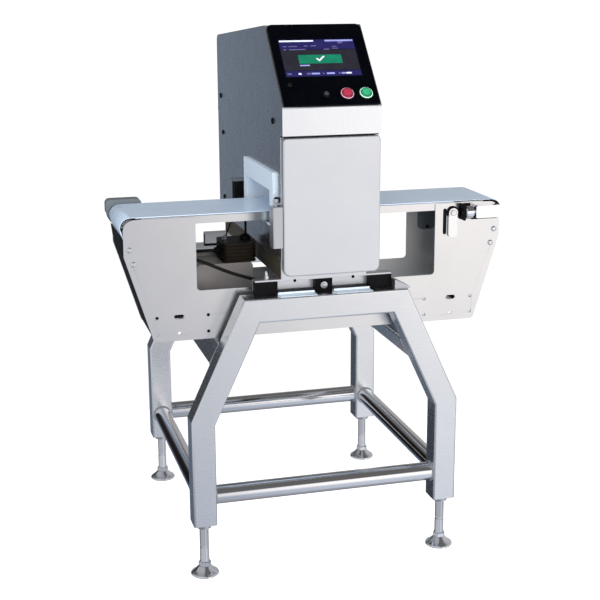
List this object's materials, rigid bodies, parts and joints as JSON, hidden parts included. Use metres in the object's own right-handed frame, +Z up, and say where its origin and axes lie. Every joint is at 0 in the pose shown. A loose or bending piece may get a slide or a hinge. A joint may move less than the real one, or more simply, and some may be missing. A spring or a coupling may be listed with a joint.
{
  "type": "conveyor metal detector",
  "caption": "Stainless detector head with a rectangular tunnel over a short belt conveyor, sloped touch panel, on a welded stand with levelling feet.",
  "frame": {"origin": "middle of the footprint of the whole machine, on the floor", "axes": "+X along the belt, from the drive end to the tail end, to the right as seen from the operator; +Y from the operator's side to the back; +Z up"},
  "size_m": [0.8323, 0.6456, 1.1433],
  "materials": {
    "stainless": "fine brushed stainless steel",
    "plate_steel": "satin stainless sheet",
    "polished": "polished stainless steel",
    "roller_steel": "turned steel",
    "black_plastic": "black moulded plastic",
    "white_plastic": "white engineering plastic",
    "panel_black": "black panel film",
    "screen_glass": "glass over a lit screen",
    "red_cap": "red translucent cap",
    "green_cap": "green translucent cap",
    "dark_cap": "dark cap",
    "lamp": "small lamp lens",
    "conveyor_belt": "smooth pale blue belt",
    "rubber_black": "black rubber",
    "resin": "potting resin",
    "copper": "wound copper",
    "electronics": "populated board",
    "gearbox_paint": "grey paint on cast metal",
    "motor_paint": "dark paint on metal",
    "pulley_metal": "machined aluminium"
  },
  "bodies": {
    "machine": {"front_frame": "stainless", "rear_frame": "stainless", "side_tubes": "stainless", "base_frame": "stainless", "lower_case": "stainless", "front_door": "stainless", "upper_case": "stainless", "infeed_sensor_box": "stainless", "rear_sensor_bracket": "stainless", "cross_members": "stainless", "slider_bed": "stainless", "leg_bushes": "stainless", "front_side_plate": "plate_steel", "rear_side_plate": "plate_steel", "front_rail": "polished", "rear_rail": "polished", "side_rails": "polished", "bearing_units": "roller_steel", "insulating_blocks": "black_plastic", "button_bezels": "black_plastic", "rear_sensor": "black_plastic", "cable_glands": "black_plastic", "end_guards": "black_plastic", "take_up_brackets": "black_plastic", "tunnel_flange_left": "white_plastic", "tunnel_flange_right": "white_plastic", "tunnel_liner": "white_plastic", "control_panel": "panel_black", "display": "screen_glass", "status_lamp": "lamp", "belt": "conveyor_belt", "case_gasket": "rubber_black", "timing_belt": "rubber_black", "motor_cable": "rubber_black", "coil_core": "resin", "coil_windings": "copper", "electronics": "electronics", "gearbox": "gearbox_paint", "motor_bracket": "gearbox_paint", "drive_cover": "gearbox_paint", "gear_motor": "motor_paint", "base_rails": "motor_paint"},
    "foot_front_left": {"foot_front_left": "polished"},
    "foot_front_right": {"foot_front_right": "polished"},
    "foot_rear_left": {"foot_rear_left": "polished"},
    "foot_rear_right": {"foot_rear_right": "polished"},
    "drive_shaft": {"drive_roller": "roller_steel", "drive_pulley": "pulley_metal"},
    "motor_shaft": {"motor_pulley": "pulley_metal"},
    "take_up": {"take_up_blocks": "polished", "tail_axle": "polished"},
    "tail_drum": {"tail_roller": "roller_steel"},
    "left_corner_drum": {"left_corner_roller": "roller_steel"},
    "right_corner_drum": {"right_corner_roller": "roller_steel"},
    "front_nut": {"front_tension_nut": "polished"},
    "rear_nut": {"rear_tension_nut": "polished"},
    "lever": {"release_lever": "polished"},
    "start_key": {"start_button": "green_cap"},
    "stop_key": {"stop_button": "red_cap"},
    "reset_key": {"reset_button": "dark_cap"}
  },
  "joints": [
    {"name": "level_front_left", "type": "slide", "parent": "machine", "child": "foot_front_left", "axis": [0, 0, 1], "range_m": [-0.025, 0.04]},
    {"name": "level_front_right", "type": "slide", "parent": "machine", "child": "foot_front_right", "axis": [0, 0, 1], "range_m": [-0.025, 0.04]},
    {"name": "level_rear_left", "type": "slide", "parent": "machine", "child": "foot_rear_left", "axis": [0, 0, 1], "range_m": [-0.025, 0.04]},
    {"name": "level_rear_right", "type": "slide", "parent": "machine", "child": "foot_rear_right", "axis": [0, 0, 1], "range_m": [-0.025, 0.04]},
    {"name": "drive_spin", "type": "hinge", "parent": "machine", "child": "drive_shaft", "pos_m": [-0.38815, -0.131, 0.7477], "axis": [0, 1, 0], "continuous": true},
    {"name": "motor_spin", "type": "hinge", "parent": "machine", "child": "motor_shaft", "pos_m": [-0.21915, -0.131, 0.6], "axis": [0, 1, 0], "continuous": true},
    {"name": "take_up_slide", "type": "slide", "parent": "machine", "child": "take_up", "axis": [1, 0, 0], "range_m": [-0.005, 0]},
    {"name": "tail_spin", "type": "hinge", "parent": "take_up", "child": "tail_drum", "pos_m": [0.39385, -0.131, 0.7477], "axis": [0, 1, 0], "continuous": true},
    {"name": "left_corner_spin", "type": "hinge", "parent": "machine", "child": "left_corner_drum", "pos_m": [-0.34215, -0.131, 0.59], "axis": [0, 1, 0], "continuous": true},
    {"name": "right_corner_spin", "type": "hinge", "parent": "machine", "child": "right_corner_drum", "pos_m": [0.34785, -0.131, 0.59], "axis": [0, 1, 0], "continuous": true},
    {"name": "front_nut_turn", "type": "hinge", "parent": "machine", "child": "front_nut", "pos_m": [0.33355, -0.2358, 0.7477], "axis": [1, 0, 0], "continuous": true},
    {"name": "rear_nut_turn", "type": "hinge", "parent": "machine", "child": "rear_nut", "pos_m": [0.33355, -0.0262, 0.7477], "axis": [1, 0, 0], "continuous": true},
    {"name": "lever_swing", "type": "hinge", "parent": "machine", "child": "lever", "pos_m": [0.30175, -0.223, 0.746], "axis": [0, 1, 0], "range_deg": [0, 90]},
    {"name": "start_push", "type": "slide", "parent": "machine", "child": "start_key", "axis": [0, 0.7306, -0.6828], "range_m": [0, 0.003], "stiffness_N_per_m": 400},
    {"name": "stop_push", "type": "slide", "parent": "machine", "child": "stop_key", "axis": [0, 0.7306, -0.6828], "range_m": [0, 0.003], "stiffness_N_per_m": 400},
    {"name": "reset_push", "type": "slide", "parent": "machine", "child": "reset_key", "axis": [0, 0.7306, -0.6828], "range_m": [0, 0.003], "stiffness_N_per_m": 400}
  ],
  "couplings": [
    {"joint": "motor_spin", "follows": "drive_spin", "ratio": 1.0769},
    {"joint": "tail_spin", "follows": "drive_spin", "ratio": 1},
    {"joint": "left_corner_spin", "follows": "drive_spin", "ratio": 1},
    {"joint": "right_corner_spin", "follows": "drive_spin", "ratio": 1}
  ]
}
